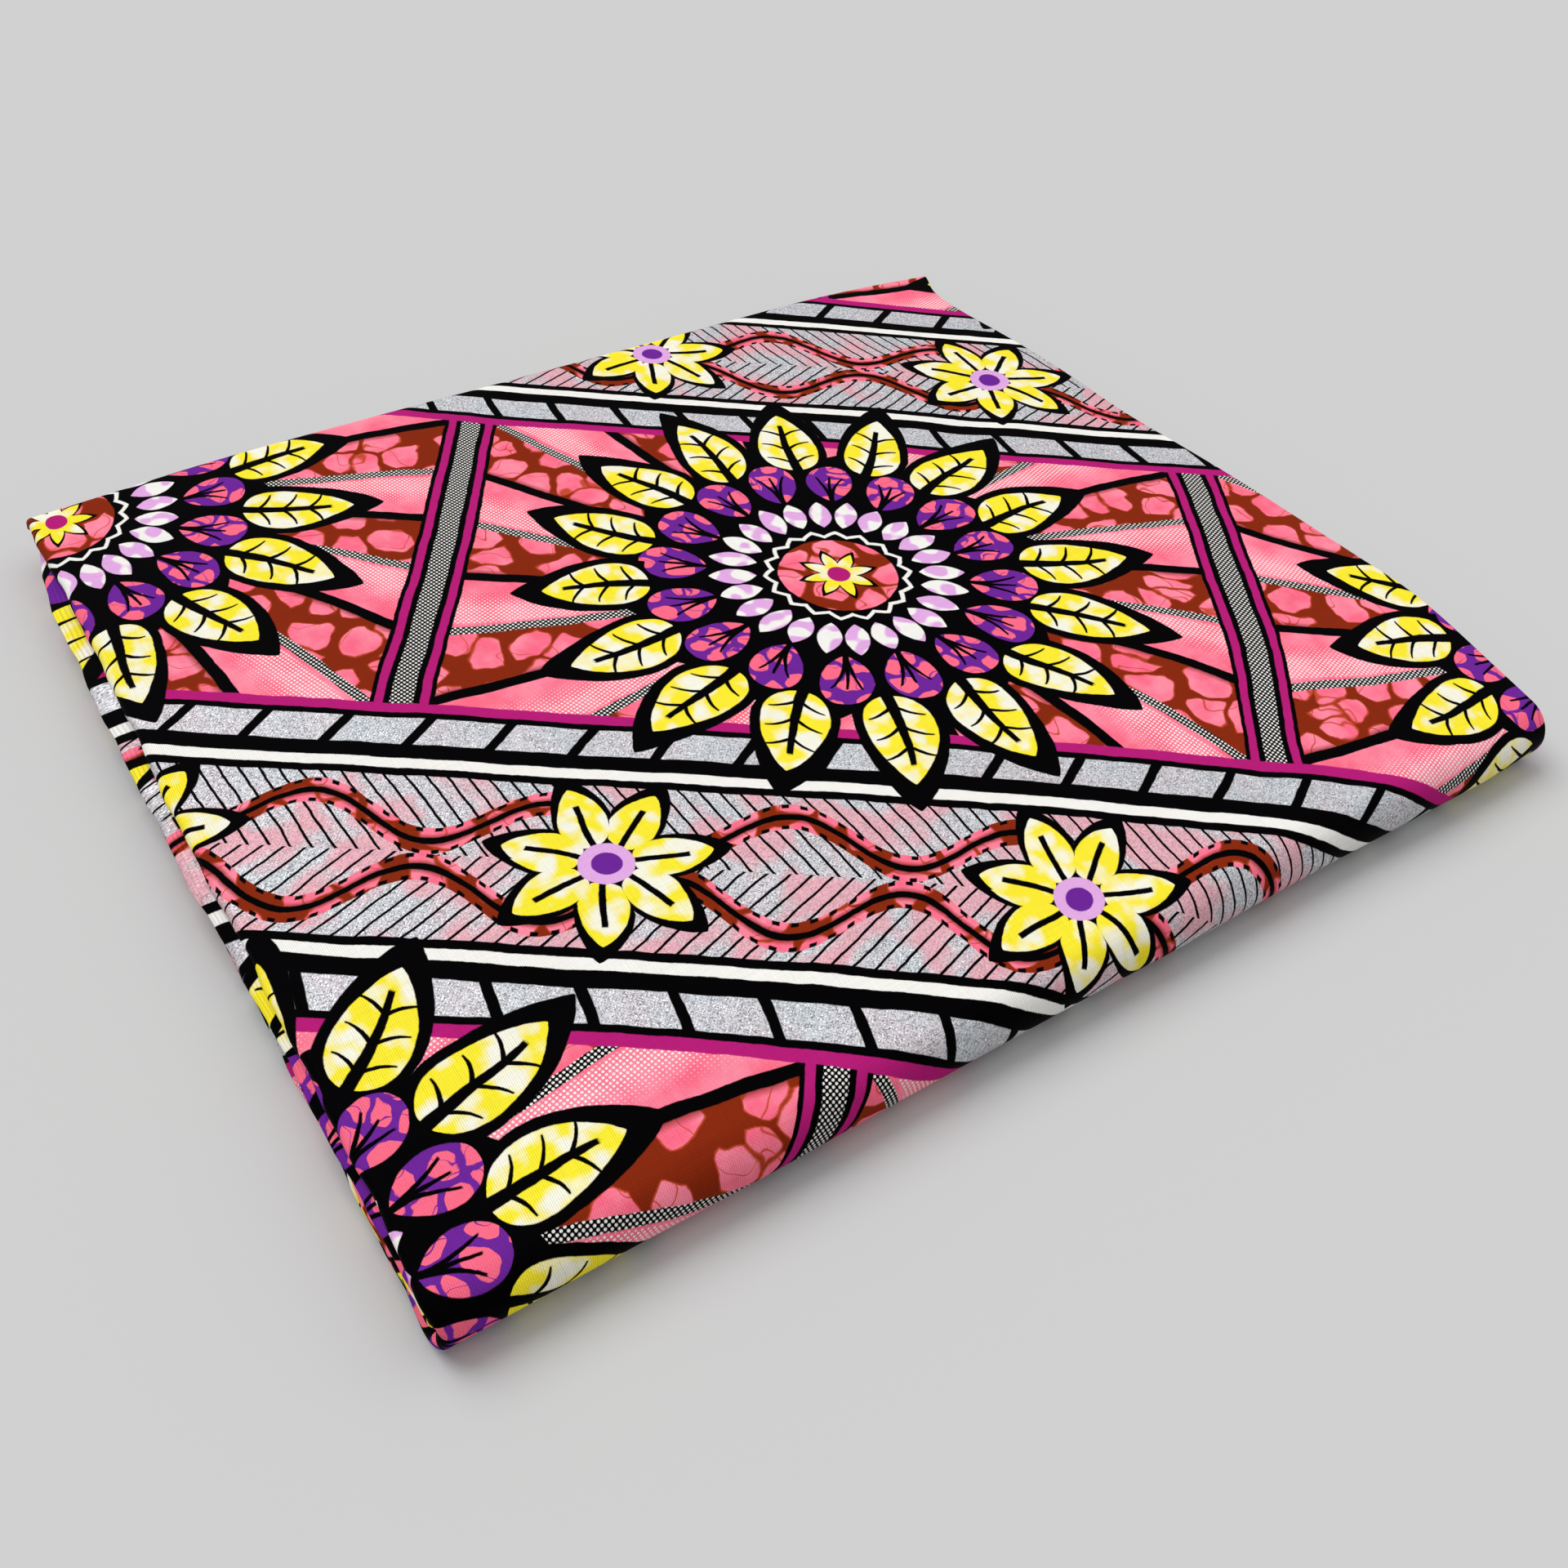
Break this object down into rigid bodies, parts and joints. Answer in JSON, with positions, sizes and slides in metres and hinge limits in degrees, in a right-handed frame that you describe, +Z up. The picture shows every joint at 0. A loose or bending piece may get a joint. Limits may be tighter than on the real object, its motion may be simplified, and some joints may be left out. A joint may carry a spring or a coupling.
{
  "type": "folded ankara fabric",
  "caption": "Length of printed cotton cloth folded flat into an oblong stack, with rolled layers at its ends and a fat fold along the front.",
  "frame": {"origin": "middle of the bounding box, on the flat underside", "axes": "+X along the selvedges of the folded cloth, +Y from the fat front fold to the back roll, +Z up"},
  "size_m": [0.3506, 0.2954, 0.018],
  "materials": {
    "printed_cotton": "matt plain-weave cotton with a multicolour wax print and silver glitter",
    "folded_cotton": "matt plain-weave cotton, folded edges with the same print"
  },
  "bodies": {
    "root": {"outer_layer": "printed_cotton", "hidden_layers": "folded_cotton"}
  },
  "joints": []
}
